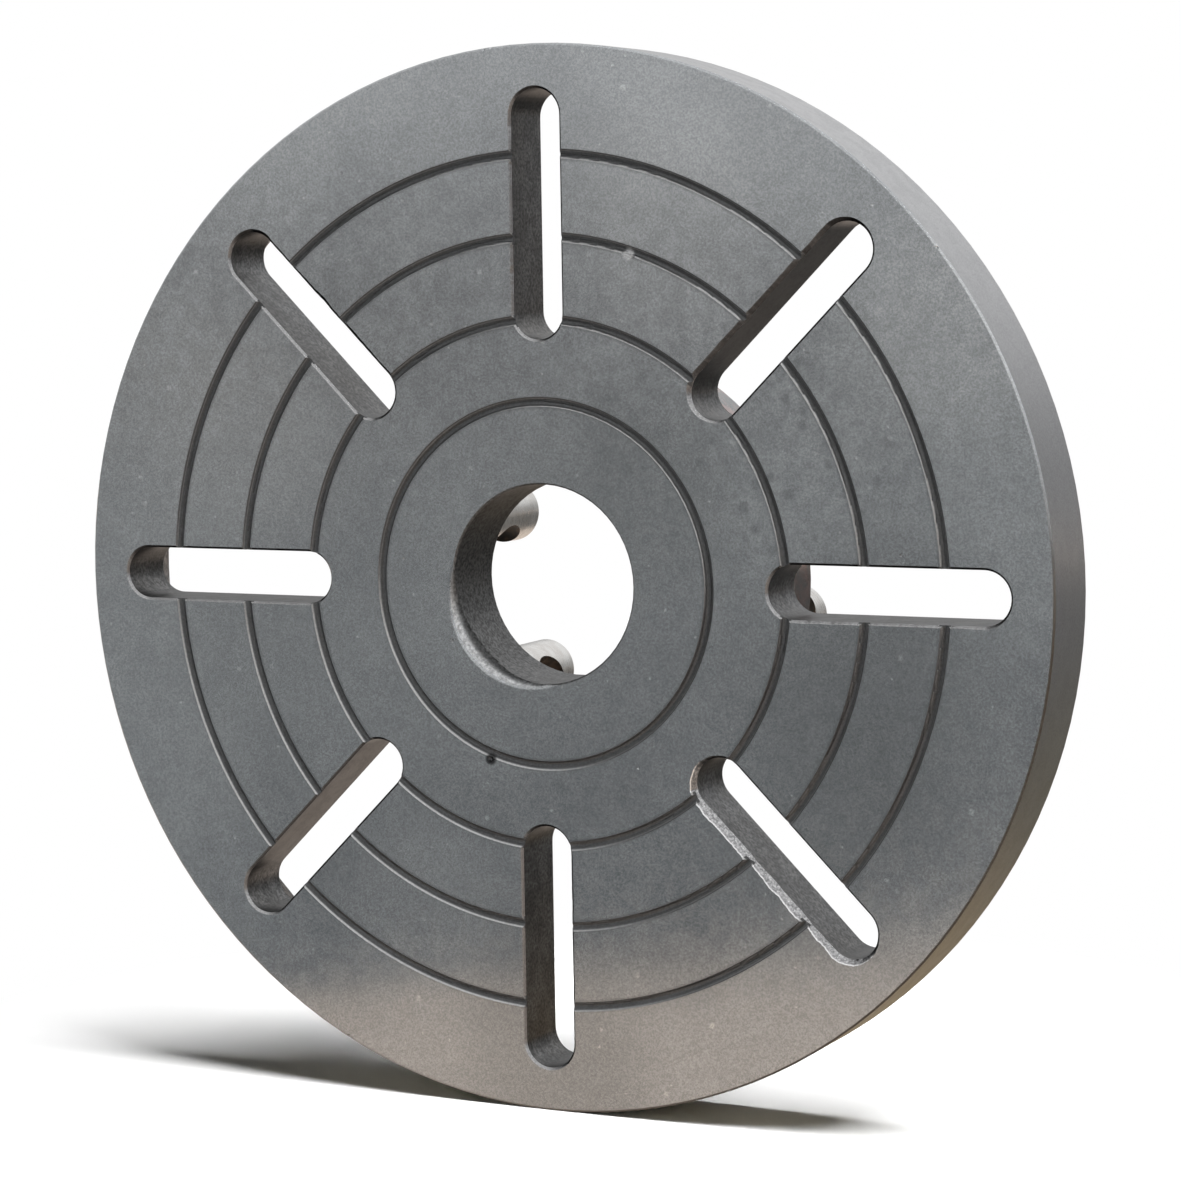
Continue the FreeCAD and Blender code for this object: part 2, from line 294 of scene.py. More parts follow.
world = bpy.data.worlds.new("studio")
bpy.context.scene.world = world
world.use_nodes = True
tree = world.node_tree
tree.nodes.clear()
rays = put(tree, "ShaderNodeLightPath").outputs
way = parts(tree, put(tree, "ShaderNodeTexCoord").outputs["Generated"])
in_front = ramp(tree, way["Z"], *SKY_RISE, SKY_AT_HORIZON, SKY_ABOVE)
behind = ramp(tree, way["Z"], *SKY_RISE_BEHIND, SKY_AT_HORIZON, SKY_ABOVE)
glow = blend(tree, ramp(tree, way["Y"], *SKY_TURN), in_front, behind)
glow = calc(tree, "MULTIPLY", glow, ramp(tree, way["X"], *SKY_SIDES, *SKY_SHARE))
shiny = both(tree, rays["Is Glossy Ray"], unscattered(tree, rays))
strength = blend(tree, shiny, SKY_LIGHT, glow)
strength = blend(tree, rays["Is Camera Ray"], strength, 1.0)
sky = put(tree, "ShaderNodeBackground", {"Color": (1, 1, 1, 1), "Strength": strength}).outputs[0]
put(tree, "ShaderNodeOutputWorld", {"Surface": sky})

# %% Soft box overhead
BOX_PLACE = Vector((0.60, -0.20, 1.40))
BOX_SIZE = (0.80, 0.95)
BOX_POWER = 72.0

bpy.ops.object.light_add(type="AREA", location=BOX_PLACE)
soft_box = bpy.context.object
soft_box.name = "soft_box"
soft_box.data.shape = "RECTANGLE"
soft_box.data.size, soft_box.data.size_y = BOX_SIZE
soft_box.data.energy = BOX_POWER
soft_box.rotation_euler = (BOX_PLACE - Vector((0, 0, FLOOR_Z))).to_track_quat("Z", "Y").to_euler()
soft_box.visible_glossy = False

# %% [markdown]
# The pieces are shaped with the same operators as by hand. Some helpers save typing: they choose a
# piece, open and close it for editing, and pick the parts of it that pass a test. Another turns a
# profile: it starts from a filled circle, and each step extrudes the end face along the axis and
# scales it to the next radius, so a stud, a screw or a cutter is only a short list of steps.


# %% Helpers for modelling
FROM_Z_TO_Y = Matrix.Rotation(math.radians(-90), 4, "X")


def choose(piece):
    """Makes a piece the only selected one, and the active one."""
    bpy.ops.object.select_all(action="DESELECT")
    bpy.context.view_layer.objects.active = piece
    piece.select_set(True)


def edit(piece):
    """Opens a piece alone for editing."""
    choose(piece)
    bpy.ops.object.mode_set(mode="EDIT")


def close():
    """Leaves edit mode."""
    bpy.ops.object.mode_set(mode="OBJECT")


def pick(piece, kind, test):
    """Selects the VERT, EDGE or FACE parts of an open piece that pass a test, and counts them."""
    bpy.ops.mesh.select_mode(type=kind)
    bpy.ops.mesh.select_all(action="DESELECT")
    cage = bmesh.from_edit_mesh(piece.data)
    all_parts = {"VERT": cage.verts, "EDGE": cage.edges, "FACE": cage.faces}[kind]
    chosen = [part for part in all_parts if test(part)]
    for part in chosen:
        part.select_set(True)
    cage.select_flush_mode()
    bmesh.update_edit_mesh(piece.data)
    return len(chosen)


def turned(name, steps, count):
    """A solid turned about Z through (radius, height) steps, from its foot to its top."""
    radius, height = steps[0]
    bpy.ops.object.select_all(action="DESELECT")
    bpy.ops.mesh.primitive_circle_add(vertices=count, radius=radius, fill_type="NGON", location=(0, 0, 0))
    piece = bpy.context.object
    piece.name = name
    edit(piece)
    bpy.ops.mesh.select_all(action="SELECT")
    bpy.ops.transform.translate(value=(0, 0, height))
    for next_radius, next_height in steps[1:]:
        bpy.ops.mesh.extrude_region_move(TRANSFORM_OT_translate={"value": (0, 0, next_height - height)})
        size = next_radius / radius
        bpy.ops.transform.resize(value=(size, size, 1), center_override=(0, 0, next_height))
        radius, height = next_radius, next_height
    bpy.ops.mesh.select_all(action="SELECT")
    bpy.ops.mesh.normals_make_consistent(inside=False)
    close()
    return piece


def cut_away(piece, tool):
    """Cuts a tool out of a piece and removes the tool."""
    cut = piece.modifiers.new("cut", "BOOLEAN")
    cut.operation = "DIFFERENCE"
    cut.solver = "EXACT"
    cut.object = tool
    choose(piece)
    bpy.ops.object.modifier_apply(modifier=cut.name)
    bpy.data.objects.remove(tool)


def soften(piece, angle_deg):
    """Shades a piece smooth below an angle, with its flat faces kept flat."""
    choose(piece)
    bpy.ops.object.shade_smooth_by_angle(angle=math.radians(angle_deg))
    weights = piece.modifiers.new("flat faces", "WEIGHTED_NORMAL")
    weights.keep_sharp = True
    bpy.ops.object.modifier_apply(modifier=weights.name)


# %% [markdown]
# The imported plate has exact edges, but the real one was cleaned up by hand. Each slot's mouth had
# its burr filed off, mostly on one side, and the file wandered and chattered, worst of all on the
# slot at the lower right. The bore's front edge is worn to a crescent at the lower left, and the
# rings and the face have a few nicks. Those are real shapes that catch the light, so they are cut
# from a copy of the plate: a tapered bar with shaken edges for a slot, a turned bowl set off centre
# for the bore, and small rough balls for the nicks. The CAD mesh is a heap of loose triangles, so
# the copy is merged first.

# %% Copy the plate
TOUCHING = 0.001 * MM

bpy.ops.object.select_all(action="DESELECT")
plate = bpy.data.objects.new("plate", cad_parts["faceplate_body"].data.copy())
bpy.context.collection.objects.link(plate)
edit(plate)
bpy.ops.mesh.select_all(action="SELECT")
bpy.ops.mesh.remove_doubles(threshold=TOUCHING)
close()
bpy.ops.mesh.customdata_custom_splitnormals_clear()
print("plate", len(plate.data.vertices), "points")

# %% File the mouths of the slots
SLOT_HALF = 8 * MM
SLOT_INNER_END = 73 * MM
SLOT_OUTER_END = 147 * MM
TOOL_OVER = 2 * MM
TOOL_DEEP = 3 * MM
TOOL_SIDES = 56
TOOL_ENDS = 0.1 * MM
WAVE_CUTS = 14
CHATTER_CUTS = 3
CHATTER_SHARE = 0.25
FILED_SLOTS = (
    # (angle in degrees, reach, lean, shake), the last three in millimetres
    (315, 1.15, -0.75, 0.75),
    (135, 0.85, -0.25, 0.35),
    (0, 0.60, -0.20, 0.22),
    (90, 0.62, 0.10, 0.25),
    (45, 0.90, 0.40, 0.15),
    (180, 0.62, -0.05, 0.25),
    (225, 0.62, 0.05, 0.25),
    (270, 0.62, 0.10, 0.30),
)


def runs_along(edge, least):
    """Whether an edge between two faces runs at least that far along the bar."""
    return len(edge.link_faces) == 2 and abs(edge.verts[0].co.x - edge.verts[1].co.x) > least


def slot_file(angle_deg, reach, lean, shake, seed):
    """A tapered bar with shaken edges that widens one slot's mouth, leaning to one side of it."""
    run = SLOT_OUTER_END - SLOT_INNER_END - 2 * SLOT_HALF
    height = TOOL_OVER + TOOL_DEEP
    bpy.ops.object.select_all(action="DESELECT")
    bpy.ops.mesh.primitive_cone_add(vertices=TOOL_SIDES, radius1=SLOT_HALF + reach + TOOL_OVER,
                                    radius2=SLOT_HALF + reach - TOOL_DEEP, depth=height)
    tool = bpy.context.object
    edit(tool)
    pick(tool, "VERT", lambda v: v.co.x > TOUCHING)
    bpy.ops.transform.translate(value=(run, 0, 0))
    pick(tool, "EDGE", lambda e: e.calc_length() > run / 2)
    bpy.ops.mesh.subdivide(number_cuts=WAVE_CUTS)
    pick(tool, "VERT", lambda v: TOOL_ENDS < v.co.x < run - TOOL_ENDS)
    bpy.ops.transform.vertex_random(offset=shake, uniform=0.0, normal=0.0, seed=seed)
    pick(tool, "EDGE", lambda e: runs_along(e, run / 20))
    bpy.ops.mesh.subdivide(number_cuts=CHATTER_CUTS)
    bpy.ops.mesh.select_all(action="SELECT")
    bpy.ops.transform.vertex_random(offset=shake * CHATTER_SHARE, uniform=0.0, normal=0.0, seed=seed + 1)
    bpy.ops.mesh.quads_convert_to_tris()
    close()
    lift = Matrix.Translation((0, 0, height / 2 - TOOL_OVER))
    out = Matrix.Translation((SLOT_INNER_END + SLOT_HALF, FACE_Y, lean))
    tool.data.transform(Matrix.Rotation(math.radians(-angle_deg), 4, "Y") @ out @ FROM_Z_TO_Y @ lift)
    return tool


for seed, (angle_deg, reach, lean, shake) in enumerate(FILED_SLOTS):
    cut_away(plate, slot_file(angle_deg, reach * MM, lean * MM, shake * MM, 2 * seed + 3))
print("plate with filed slots", len(plate.data.polygons), "faces")

# %% Wear the bore's edge to a crescent
CRESCENT_SET_OFF = 6.4 * MM
CRESCENT_TOWARDS = math.radians(222)
CRESCENT_MOUTH = 27.7 * MM
CRESCENT_ROUND = 4.6 * MM
CRESCENT_DEPTH = 9.5 * MM
ROUND_STEPS = 12
BOWL_SIDES = 160

steps = [(CRESCENT_MOUTH + TOOL_OVER, -TOOL_OVER)]
for i in range(ROUND_STEPS + 1):
    turn = math.radians(90) * i / ROUND_STEPS
    steps.append((CRESCENT_MOUTH - CRESCENT_ROUND * math.sin(turn), CRESCENT_DEPTH * (1 - math.cos(turn))))
steps.append((steps[-1][0], CRESCENT_DEPTH + TOOL_OVER))
bowl = turned("bowl", steps, BOWL_SIDES)
aside = Vector((math.cos(CRESCENT_TOWARDS), 0, math.sin(CRESCENT_TOWARDS))) * CRESCENT_SET_OFF
bowl.data.transform(Matrix.Translation(aside + Vector((0, FACE_Y, 0))) @ FROM_Z_TO_Y)
cut_away(plate, bowl)

# %% Break the edges of the rings
RING_FIRST = 54.4 * MM
RING_PITCH = 24.4 * MM
RING_COUNT = 4
LIP_TOOL = 1.85 * MM
LIP_TOOL_UP = 1.13 * MM
LIP_TOOL_OUT = 0.20 * MM
LIP_TOOL_SEGMENTS = 360
LIP_TOOL_SIDES = 20

for i in range(RING_COUNT):
    middle_radius = RING_FIRST + LIP_TOOL_OUT + i * RING_PITCH
    bpy.ops.object.select_all(action="DESELECT")
    bpy.ops.mesh.primitive_torus_add(major_segments=LIP_TOOL_SEGMENTS, minor_segments=LIP_TOOL_SIDES,
                                     major_radius=middle_radius, minor_radius=LIP_TOOL)
    tool = bpy.context.object
    tool.data.transform(Matrix.Translation((0, FACE_Y - LIP_TOOL_UP, 0)) @ FROM_Z_TO_Y)
    cut_away(plate, tool)

# %% Nick the face and the rings
NICKS = (
    # (distance from the axis in mm, angle in degrees, radius in mm)
    (102.2, 72.0, 0.9),
    (102.3, 74.0, 0.6),
    (102.8, 153.3, 0.8),
    (115.1, 5.8, 0.6),
    (56.4, 251.1, 1.1),
    (35.6, 209.9, 0.7),
    (47.4, 172.1, 0.6),
    (55.3, 214.0, 0.7),
    (55.4, 221.0, 0.6),
    (53.5, 229.0, 0.7),
    (77.9, 137.0, 0.6),
    (128.4, 247.0, 0.7),
    (104.0, 258.0, 0.6),
    (126.7, 200.0, 0.6),
    (140.0, 118.0, 0.5),
    (62.0, 300.0, 0.5),
    (128.6, 336.0, 0.6),
    (159.9, 96.0, 1.1),
    (160.0, 38.0, 1.0),
    (159.9, 244.0, 1.2),
)
NICK_SINK = 0.35
NICK_SHAKE = 0.22
PLATE_SMOOTH_DEG = 30

bpy.ops.object.select_all(action="DESELECT")
balls = []
for seed, (away, angle_deg, radius) in enumerate(NICKS):
    turn = math.radians(angle_deg)
    place = Vector((away * math.cos(turn), -radius * NICK_SINK, away * math.sin(turn))) * MM
    place += Vector((0, FACE_Y, 0))
    bpy.ops.mesh.primitive_ico_sphere_add(subdivisions=2, radius=radius * MM, location=place)
    ball = bpy.context.object
    edit(ball)
    bpy.ops.transform.vertex_random(offset=radius * NICK_SHAKE * MM, uniform=0.0, normal=0.0, seed=seed)
    close()
    balls.append(ball)
for ball in balls:
    ball.select_set(True)
bpy.ops.object.join()
nicks = bpy.context.object
bpy.ops.object.transform_apply(location=True, rotation=True, scale=True)
cut_away(plate, nicks)
soften(plate, PLATE_SMOOTH_DEG)
print("finished plate", len(plate.data.polygons), "faces")

# %% [markdown]
# A cam stud is turned from bright bar. A round notch in its side takes the cam that pulls it in, a
# fine line round its foot shows how far to screw it in, and a groove along it takes the head of the
# screw that locks it. One stud is shaped on the axis, and the six are copies of it with their own
# meshes, each turned and moved to its place on the stud circle.

# %% Shape one cam stud
STUD_CIRCLE = 52.39 * MM
STUD_TURN = 43.0
STUD_COUNT = 6
STUD_RADIUS = 9.525 * MM
STUD_SIDES = 72
STUD_STEPS = (
    # (radius, height above the hub face) in millimetres
    (5.0, -23.0), (6.0, -22.0), (6.0, -7.0), (9.3, -7.0), (9.3, 0.0), (9.525, 0.0), (9.525, 0.8),
    (9.225, 1.0), (9.525, 1.2), (9.525, 36.5), (9.3, 37.05), (8.75, 37.6), (8.0, 38.0),
)
NOTCH_RADIUS = 9.5 * MM
NOTCH_HEIGHT = 20 * MM
NOTCH_AWAY = 9.975 * MM
NOTCH_SPAN = (10 * MM, 30 * MM)
NOTCH_EDGE_TURN = math.radians(40)
NOTCH_EDGE_ROUND = 0.25 * MM
NOTCH_MARGIN = 0.05 * MM
SHANK_MARGIN = 0.02 * MM
GROOVE_RADIUS = 5.15 * MM
GROOVE_MIDDLE = 15 * MM
LOCK_SPACING = 12.525 * MM
STUD_MERGE = 0.01 * MM
STUD_SMOOTH_DEG = 35
# Each cutting rod is given by its length and its number of sides
NOTCH_TOOL = (60 * MM, 96)
GROOVE_TOOL = (100 * MM, 48)


def rod(radius, length, count, place, turn):
    """A plain round bar, for cutting."""
    bpy.ops.object.select_all(action="DESELECT")
    bpy.ops.mesh.primitive_cylinder_add(vertices=count, radius=radius, depth=length)
    bar = bpy.context.object
    bar.data.transform(Matrix.Translation(place) @ turn)
    return bar


stud = turned("cam_stud_shown", [(r * MM, h * MM) for r, h in STUD_STEPS], STUD_SIDES)
lying = Matrix.Rotation(math.radians(90), 4, "Y")
cut_away(stud, rod(NOTCH_RADIUS, *NOTCH_TOOL, Vector((0, -NOTCH_AWAY, NOTCH_HEIGHT)), lying))
lock_turn = 2 * math.asin(LOCK_SPACING / 2 / STUD_CIRCLE)
lock_place = Vector((STUD_CIRCLE * (math.cos(lock_turn) - 1), STUD_CIRCLE * math.sin(lock_turn), 0))
groove_place = lock_place + Vector((0, 0, GROOVE_MIDDLE))
cut_away(stud, rod(GROOVE_RADIUS, *GROOVE_TOOL, groove_place, Matrix.Identity(4)))


def is_notch_edge(edge):
    """Whether an edge is one of the sharp ones round the notch."""
    centre = (edge.verts[0].co + edge.verts[1].co) / 2
    is_sharp = len(edge.link_faces) == 2 and edge.calc_face_angle() > NOTCH_EDGE_TURN
    return is_sharp and NOTCH_SPAN[0] < centre.z < NOTCH_SPAN[1] and centre.y < 0


def is_in_notch(face):
    """Whether a face belongs to the notch and not to the round of the stud."""
    centre = face.calc_center_median()
    from_axis = math.hypot(centre.y + NOTCH_AWAY, centre.z - NOTCH_HEIGHT)
    return from_axis < NOTCH_RADIUS + NOTCH_MARGIN and centre.xy.length < STUD_RADIUS - SHANK_MARGIN


edit(stud)
bpy.ops.mesh.select_all(action="SELECT")
bpy.ops.mesh.remove_doubles(threshold=STUD_MERGE)
pick(stud, "EDGE", is_notch_edge)
bpy.ops.mesh.bevel(offset=NOTCH_EDGE_ROUND, segments=2, profile=0.5, affect="EDGES", clamp_overlap=True)
close()
soften(stud, STUD_SMOOTH_DEG)
stud_looks = [bpy.data.materials.new("ground steel"), bpy.data.materials.new("dirty steel")]
for look in stud_looks:
    stud.data.materials.append(look)
edit(stud)
in_notch = pick(stud, "FACE", is_in_notch)
stud.active_material_index = 1
bpy.ops.object.material_slot_assign()
close()
print("stud", len(stud.data.polygons), "faces,", in_notch, "in the notch")

# %% Shape one locking screw
SCREW_STEPS = (
    (2.3, -19.0), (3.0, -18.3), (3.0, -7.0), (4.8, -7.0), (5.0, -6.8), (5.0, -6.5), (5.0, -1.9), (5.0, -1.6),
    (4.85, -1.2), (4.5, -1.0),
)
SCREW_SIDES = 72
KNURL_DEPTH = 0.035
KNURL_BEYOND = 4.9 * MM
KNURL_SPAN = (-6.6 * MM, -1.8 * MM)
HEX_CORNER = 2.5 * MM / math.cos(math.radians(30))
HEX_FLOOR = -4.0 * MM
# The cutter of the hexagon, by its length and its number of sides
HEX_TOOL = (10 * MM, 6)
SCREW_SMOOTH_DEG = 28

screw = turned("lock_screw_shown", [(r * MM, h * MM) for r, h in SCREW_STEPS], SCREW_SIDES)


def is_valley(vertex):
    """Whether a point is in a valley of the knurling round the head."""
    on_side = vertex.co.xy.length > KNURL_BEYOND and KNURL_SPAN[0] < vertex.co.z < KNURL_SPAN[1]
    return on_side and round(math.atan2(vertex.co.y, vertex.co.x) / math.tau * SCREW_SIDES) % 2 == 1


edit(screw)
pick(screw, "VERT", is_valley)
bpy.ops.transform.resize(value=(1 - KNURL_DEPTH, 1 - KNURL_DEPTH, 1), center_override=(0, 0, 0))
close()
hex_place = Vector((0, 0, HEX_FLOOR + HEX_TOOL[0] / 2))
cut_away(screw, rod(HEX_CORNER, *HEX_TOOL, hex_place, Matrix.Identity(4)))
soften(screw, SCREW_SMOOTH_DEG)
print("screw", len(screw.data.polygons), "faces")

# %% Copy the studs and screws round their circle
studs, screws = [], []
for i in range(STUD_COUNT):
    turn = Matrix.Rotation(-math.radians(STUD_TURN + 360 / STUD_COUNT * i), 4, "Y")
    to_stud = turn @ Matrix.Translation((STUD_CIRCLE, 0, 0)) @ FROM_Z_TO_Y
    to_screw = to_stud @ Matrix.Translation(lock_place)
    for pattern, copies, place in ((stud, studs, to_stud), (screw, screws, to_screw)):
        copy = pattern.copy()
        copy.data = pattern.data.copy()
        copy.name = f"{pattern.name}_{i + 1}"
        copy.data.transform(place)
        bpy.context.collection.objects.link(copy)
        copies.append(copy)
bpy.data.objects.remove(stud)
bpy.data.objects.remove(screw)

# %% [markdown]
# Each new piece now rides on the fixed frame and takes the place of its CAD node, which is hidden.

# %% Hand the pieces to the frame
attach(plate, "root")
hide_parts("faceplate_body")
for i in range(STUD_COUNT):
    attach(studs[i], "root")
    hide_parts(f"cam_stud_{i + 1}")
    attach(screws[i], "root")
    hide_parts(f"stud_lock_screw_{i + 1}")

# %% [markdown]
# Ground cast iron isn't one grey. It has a fine grain of graphite, wide clouds where oil and hands
# have darkened it, and small pale spots where drops have dried. Each of those is a node group, so
# the face, the slots, the bore and the back can all use it with values of their own.


# %% Group: fine grain
def mm_scale(tree, size_mm):
    """The scale of a pattern whose features are about as large as the size."""
    return calc(tree, "DIVIDE", 1000.0, size_mm)


grain, given, out = new_group(
    "fine grain",
    [("Place", "NodeSocketVector", None), ("Size in mm", "NodeSocketFloat", 0.5)],
    ["Amount"],
)
cloudy = noise(grain, given["Place"], mm_scale(grain, given["Size in mm"]), 3.0, 0.6)
grain.links.new(cloudy[0], out["Amount"])

# %% Group: clouds
clouds, given, out = new_group(
    "clouds",
    [("Place", "NodeSocketVector", None), ("Size in mm", "NodeSocketFloat", 40.0),
     ("Softness", "NodeSocketFloat", 0.12)],
    ["Amount"],
)
cloudy = noise(clouds, given["Place"], mm_scale(clouds, given["Size in mm"]), 5.0, 0.62, 0.3)
low = calc(clouds, "SUBTRACT", 0.5, given["Softness"])
high = calc(clouds, "ADD", 0.5, given["Softness"])
clouds.links.new(ramp(clouds, cloudy[0], low, high), out["Amount"])

# %% Group: dried spots
SPOT_WOBBLE = 0.0016
WOBBLE_SCALE = 400.0
SPOT_LEAST = 0.35
SPOT_CORE = 0.45

spots, given, out = new_group(
    "dried spots",
    [("Place", "NodeSocketVector", None), ("Spacing in mm", "NodeSocketFloat", 12.0),
     ("Radius in mm", "NodeSocketFloat", 1.6), ("Share", "NodeSocketFloat", 0.4)],
    ["Amount"],
)
wobble = noise(spots, given["Place"], WOBBLE_SCALE, 2.0)["Color"]
wobble = put(spots, "ShaderNodeVectorMath", {0: wobble, 1: (0.5, 0.5, 0.5)}, operation="SUBTRACT").outputs[0]
wobble = scaled(spots, wobble, SPOT_WOBBLE)
shaken = put(spots, "ShaderNodeVectorMath", {0: given["Place"], 1: wobble}, operation="ADD").outputs[0]
spacing = mm_scale(spots, given["Spacing in mm"])
cells = put(spots, "ShaderNodeTexVoronoi", {"Vector": shaken, "Scale": spacing}).outputs
reach = calc(spots, "DIVIDE", given["Radius in mm"], given["Spacing in mm"])
chance = put(spots, "ShaderNodeSeparateColor", {0: cells["Color"]}).outputs
size = calc(spots, "MULTIPLY", reach, ramp(spots, chance["Green"], 0.0, 1.0, SPOT_LEAST, 1.0))
disc = ramp(spots, cells["Distance"], size, calc(spots, "MULTIPLY", size, SPOT_CORE))
chosen = calc(spots, "LESS_THAN", chance["Red"], given["Share"])
spots.links.new(both(spots, disc, chosen), out["Amount"])

# %% Group: marks of a turning tool
marks, given, out = new_group(
    "turned marks",
    [("Place", "NodeSocketVector", None), ("Radius", "NodeSocketFloat", 0.0),
     ("Pitch in mm", "NodeSocketFloat", 0.3)],
    ["Amount"],
)
depth = parts(marks, given["Place"])["Y"]
track = put(marks, "ShaderNodeCombineXYZ", {"X": given["Radius"], "Y": depth}).outputs[0]
cloudy = noise(marks, track, mm_scale(marks, given["Pitch in mm"]), 2.0)
marks.links.new(cloudy[0], out["Amount"])

# %% [markdown]
# The plate is one casting, but it doesn't look the same all over: some of its skin is as it came
# from the sand, and the rest has been cut. One material can show all of that if it knows where it
# is. The next group measures the place and the way that the surface faces, and puts out one mask
# for each kind of surface.

# %% Group: kinds of surface on the plate
TILTED_FROM = (0.25, 0.45)
FACE_FROM = (0.86, 0.96)
UPRIGHT = 0.35
SLOT_ZONE = (0.062, 0.1525)
RING_HALF = 1.0 * MM
RING_ZONE = RING_HALF + 0.75 * MM
RING_BOTTOM_Y = FACE_Y + 1.1 * MM
LIP_DEPTH = 0.50 * MM
LIP_ENDS_Y = (FACE_Y + 0.7 * LIP_DEPTH, FACE_Y + LIP_DEPTH)
BY_RING_ZONE = (RING_HALF + 1.3 * MM, RING_HALF + 0.3 * MM)
BY_RING_Y = FACE_Y + 0.25 * MM
FILED_Y = FACE_Y + 3.2 * MM
BURR_ENDS_Y = (FACE_Y + 0.45 * MM, FACE_Y + 0.15 * MM)
RIM_FROM = PLATE_RADIUS - 0.5 * MM
EDGE_FROM = PLATE_RADIUS - 1.5 * MM
BORE_RADIUS = 0.030
BORE_ZONE = (BORE_RADIUS + 1.9 * MM, BORE_RADIUS)
WORN_ZONE = BORE_RADIUS + 6 * MM
WEB_BACK_Y = -0.022
BACK_LIP_Y = -0.014
HUB_RADIUS = 0.070
HUB_FROM = HUB_RADIUS - 2 * MM
CAST_ZONE = (HUB_RADIUS - 0.5 * MM, PLATE_RADIUS - 5 * MM)
CAST_BETWEEN_Y = (WEB_BACK_Y - 0.1 * MM, BACK_LIP_Y - 0.2 * MM)

zones, given, out = new_group(
    "kinds of surface",
    [("Place", "NodeSocketVector", None), ("Facing", "NodeSocketVector", None)],
    ["Radius", "Filed", "Burr", "Ring", "Lip", "By ring", "Rim", "Edge", "Slot", "Bore", "Worn",
     "Hub side", "Cast"],
)
place = parts(zones, given["Place"])
facing = parts(zones, given["Facing"])["Y"]
flat = put(zones, "ShaderNodeCombineXYZ", {"X": place["X"], "Y": place["Z"]}).outputs[0]
radius = put(zones, "ShaderNodeVectorMath", {0: flat}, operation="LENGTH").outputs["Value"]


def beyond(value, least):
    """1 where the value is above the least."""
    return calc(zones, "GREATER_THAN", value, least)


def below(value, most):
    """1 where the value is under the most."""
    return calc(zones, "LESS_THAN", value, most)


to_front = calc(zones, "MULTIPLY", facing, -1.0)
upright = below(calc(zones, "ABSOLUTE", facing), UPRIGHT)
face = ramp(zones, to_front, *FACE_FROM)
tilted = both(zones, ramp(zones, to_front, *TILTED_FROM), outside(zones, face))
in_slots = both(zones, beyond(radius, SLOT_ZONE[0]), below(radius, SLOT_ZONE[1]))
number = calc(zones, "DIVIDE", calc(zones, "SUBTRACT", radius, RING_FIRST), RING_PITCH)
number = calc(zones, "MAXIMUM", calc(zones, "ROUND", number), 0.0)
number = calc(zones, "MINIMUM", number, RING_COUNT - 1.0)
nearest = calc(zones, "ADD", calc(zones, "MULTIPLY", number, RING_PITCH), RING_FIRST)
from_ring = calc(zones, "ABSOLUTE", calc(zones, "SUBTRACT", radius, nearest))
on_ring = both(zones, below(from_ring, RING_ZONE), below(place["Y"], RING_BOTTOM_Y))
ring = both(zones, on_ring, ramp(zones, place["Y"], *LIP_ENDS_Y))
filed = both(zones, tilted, in_slots, below(place["Y"], FILED_Y), outside(zones, on_ring))
bore = both(zones, outside(zones, face), ramp(zones, radius, *BORE_ZONE))
masks = {
    "Radius": radius,
    "Filed": filed,
    "Burr": both(zones, filed, ramp(zones, place["Y"], *BURR_ENDS_Y)),
    "Ring": ring,
    "Lip": both(zones, tilted, on_ring, outside(zones, ring)),
    "By ring": both(zones, ramp(zones, from_ring, *BY_RING_ZONE), below(place["Y"], BY_RING_Y)),
    "Rim": both(zones, upright, beyond(radius, RIM_FROM)),
    "Edge": both(zones, tilted, beyond(radius, EDGE_FROM), below(place["Y"], FILED_Y)),
    "Slot": both(zones, upright, in_slots, below(place["Y"], WEB_BACK_Y + 0.1 * MM), outside(zones, ring)),
    "Bore": bore,
    "Worn": both(zones, tilted, below(radius, WORN_ZONE), outside(zones, bore)),
    "Hub side": both(zones, upright, beyond(place["Y"], BACK_LIP_Y), beyond(radius, HUB_FROM)),
    "Cast": both(zones, beyond(place["Y"], CAST_BETWEEN_Y[0]), below(place["Y"], CAST_BETWEEN_Y[1]),
                 beyond(radius, CAST_ZONE[0]), below(radius, CAST_ZONE[1])),
}
for name, value in masks.items():
    zones.links.new(value, out[name])

# %% [markdown]
# The iron itself starts from one ground grey. Clouds and spots shift its brightness and its roughness,
# then each mask lays its own finish over it: milled slot walls are darker and browner, with painted
# shade where they face down or straight up; filed edges are bare in places, with a painted highlight
# where they face the light and painted shade where they face away; the rings carry painted shade,
# with a painted highlight on their lips; the rim carries a painted warm reflection towards its foot;
# the bore carries painted shade towards its top, and the back keeps the dark sandy skin of the casting.

# %% Values of the cast iron
# Sizes of the grains and the turning marks
FINE_MM = 0.55
COARSE_MM = 1.0
SAND_MM = 2.0
TURNING_PITCH_MM = 0.45
NOISE_SPAN = (0.3, 0.7)
# Clouds: their size in mm and their softness
WIDE_CLOUDS = (55.0, 0.16)
PATCHES = (6.0, 0.10)
# Spots: their spacing and radius in mm, and how many of the cells have one
DOTS = (12.0, 1.7, 0.50)
SPECKS = (5.0, 0.7, 0.30)
BLOTCHES = (4.6, 2.3, 0.45)
